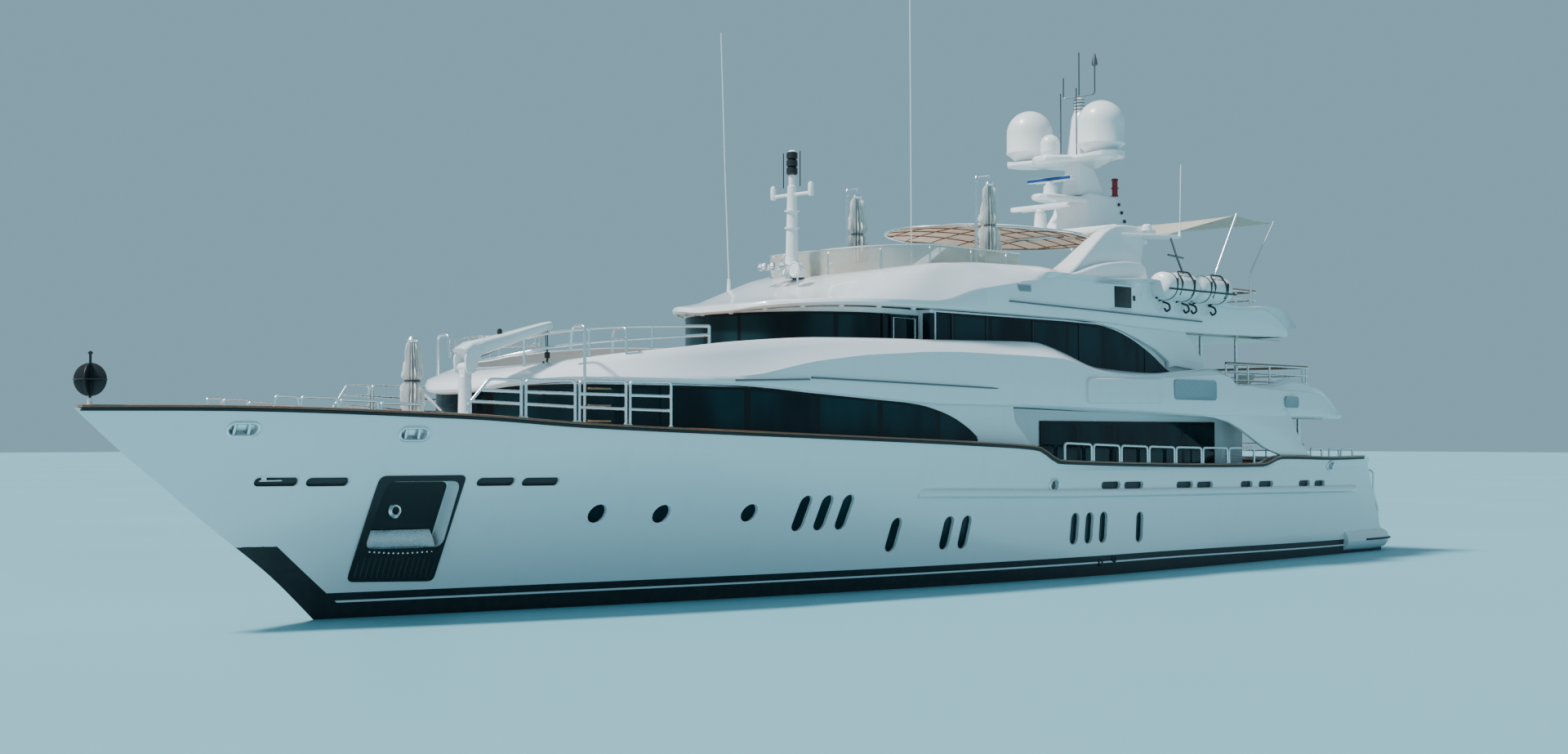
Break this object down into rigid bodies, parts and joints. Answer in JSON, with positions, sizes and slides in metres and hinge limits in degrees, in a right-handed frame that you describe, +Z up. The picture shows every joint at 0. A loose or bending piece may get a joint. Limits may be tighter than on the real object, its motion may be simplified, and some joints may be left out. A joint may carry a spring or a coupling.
{
  "type": "motor yacht",
  "caption": "Scale model of a three deck displacement motor yacht with flared bow, flush windows, radar arch, foredeck crane, sliding doors, propellers and rudders.",
  "frame": {"origin": "amidships on the centreline, at the waterline", "axes": "+X towards the bow, +Y to port, +Z up"},
  "size_m": [22.2582, 4.68, 9.61],
  "materials": {
    "white_hull": "high gloss white paint with black boot top and black bottom",
    "white_paint": "high gloss white paint",
    "white_plastic": "satin white gel coat",
    "dark_glass": "dark tinted, polished",
    "steel": "polished stainless",
    "beige_slats": "satin beige",
    "beige_cloth": "woven acrylic",
    "white_cloth": "woven acrylic cover",
    "black_paint": "matt black",
    "bronze": "cast and polished"
  },
  "bodies": {
    "yacht": {"hull": "white_hull", "swim_platform": "white_hull", "upper_deck": "white_paint", "sun_deck": "white_paint", "main_house": "white_paint", "fore_house_glass": "dark_glass", "saloon_glass_port": "dark_glass", "saloon_glass_starboard": "dark_glass", "upper_house": "white_paint", "wheelhouse_glass": "dark_glass", "lounge_glass_port": "dark_glass", "lounge_glass_starboard": "dark_glass", "sun_deck_windscreen": "dark_glass", "radar_arch": "white_paint", "mast": "white_paint", "satellite_dome_port": "white_plastic", "satellite_dome_starboard": "white_plastic", "signal_mast": "white_paint", "whip_aerial_port": "white_plastic", "whip_aerial_starboard": "white_plastic", "sun_deck_canopy": "beige_slats", "aft_awning": "beige_cloth", "parasol_fore_frame": "steel", "parasol_fore": "white_cloth", "parasol_mid_frame": "steel", "parasol_mid": "white_cloth", "parasol_bow_frame": "steel", "parasol_bow": "white_cloth", "life_rafts_port": "white_plastic", "life_rafts_starboard": "white_plastic", "bulwark_rail_port": "steel", "bulwark_rail_starboard": "steel", "side_rail_port": "steel", "side_rail_starboard": "steel", "bridge_deck_rail": "steel", "upper_aft_rail": "steel", "sun_deck_aft_rail": "steel", "main_aft_rail": "steel", "crane_pedestal": "white_paint", "jackstaff": "black_paint", "windlass": "steel", "shaft_and_bracket_port": "steel", "shaft_and_bracket_starboard": "steel"},
    "saloon_leaf_port": {"saloon_door_port": "dark_glass"},
    "saloon_leaf_starboard": {"saloon_door_starboard": "dark_glass"},
    "lounge_leaf_port": {"lounge_door_port": "dark_glass"},
    "lounge_leaf_starboard": {"lounge_door_starboard": "dark_glass"},
    "bridge_leaf_port": {"wheelhouse_door_port": "white_paint"},
    "bridge_leaf_starboard": {"wheelhouse_door_starboard": "white_paint"},
    "transom_door": {"garage_door": "white_hull"},
    "upper_scanner": {"radar_scanner_upper": "white_plastic"},
    "lower_scanner": {"radar_scanner_lower": "white_plastic"},
    "crane_post": {"crane_column": "white_paint"},
    "crane_arm": {"crane_boom": "white_paint"},
    "screw_port": {"propeller_port": "bronze"},
    "screw_starboard": {"propeller_starboard": "bronze"},
    "blade_port": {"rudder_port": "black_paint"},
    "blade_starboard": {"rudder_starboard": "black_paint"}
  },
  "joints": [
    {"name": "saloon_door_port_slide", "type": "slide", "parent": "yacht", "child": "saloon_leaf_port", "axis": [0, 1, 0], "range_m": [0, 0.76]},
    {"name": "saloon_door_starboard_slide", "type": "slide", "parent": "yacht", "child": "saloon_leaf_starboard", "axis": [0, -1, 0], "range_m": [0, 0.76]},
    {"name": "lounge_door_port_slide", "type": "slide", "parent": "yacht", "child": "lounge_leaf_port", "axis": [0, 1, 0], "range_m": [0, 0.76]},
    {"name": "lounge_door_starboard_slide", "type": "slide", "parent": "yacht", "child": "lounge_leaf_starboard", "axis": [0, -1, 0], "range_m": [0, 0.76]},
    {"name": "wheelhouse_door_port_slide", "type": "slide", "parent": "yacht", "child": "bridge_leaf_port", "axis": [1, 0, 0], "range_m": [0, 0.46]},
    {"name": "wheelhouse_door_starboard_slide", "type": "slide", "parent": "yacht", "child": "bridge_leaf_starboard", "axis": [1, 0, 0], "range_m": [0, 0.46]},
    {"name": "garage_door_hinge", "type": "hinge", "parent": "yacht", "child": "transom_door", "pos_m": [-10.3025, 0, 1], "axis": [0, 1, 0], "range_deg": [0, 80]},
    {"name": "upper_radar_spin", "type": "hinge", "parent": "yacht", "child": "upper_scanner", "pos_m": [-4.225, 0, 5.75], "axis": [0, 0, 1], "continuous": true},
    {"name": "lower_radar_spin", "type": "hinge", "parent": "yacht", "child": "lower_scanner", "pos_m": [-3.975, 0, 5.3], "axis": [0, 0, 1], "continuous": true},
    {"name": "crane_slew", "type": "hinge", "parent": "yacht", "child": "crane_post", "pos_m": [7.1, 0.775, 1.8], "axis": [0, 0, 1], "range_deg": [-180, 0]},
    {"name": "crane_luff", "type": "hinge", "parent": "crane_post", "child": "crane_arm", "pos_m": [7.1, 0.775, 2.65], "axis": [0, 1, 0], "range_deg": [0, 40]},
    {"name": "propeller_port_spin", "type": "hinge", "parent": "yacht", "child": "screw_port", "pos_m": [-7.8, 0.775, -0.925], "axis": [1, 0, 0], "continuous": true},
    {"name": "propeller_starboard_spin", "type": "hinge", "parent": "yacht", "child": "screw_starboard", "pos_m": [-7.8, -0.775, -0.925], "axis": [1, 0, 0], "continuous": true},
    {"name": "rudder_port_turn", "type": "hinge", "parent": "yacht", "child": "blade_port", "pos_m": [-8.8, 0.775, -0.6], "axis": [0, 0, 1], "range_deg": [-35, 35]},
    {"name": "rudder_starboard_turn", "type": "hinge", "parent": "yacht", "child": "blade_starboard", "pos_m": [-8.8, -0.775, -0.6], "axis": [0, 0, 1], "range_deg": [-35, 35]}
  ]
}
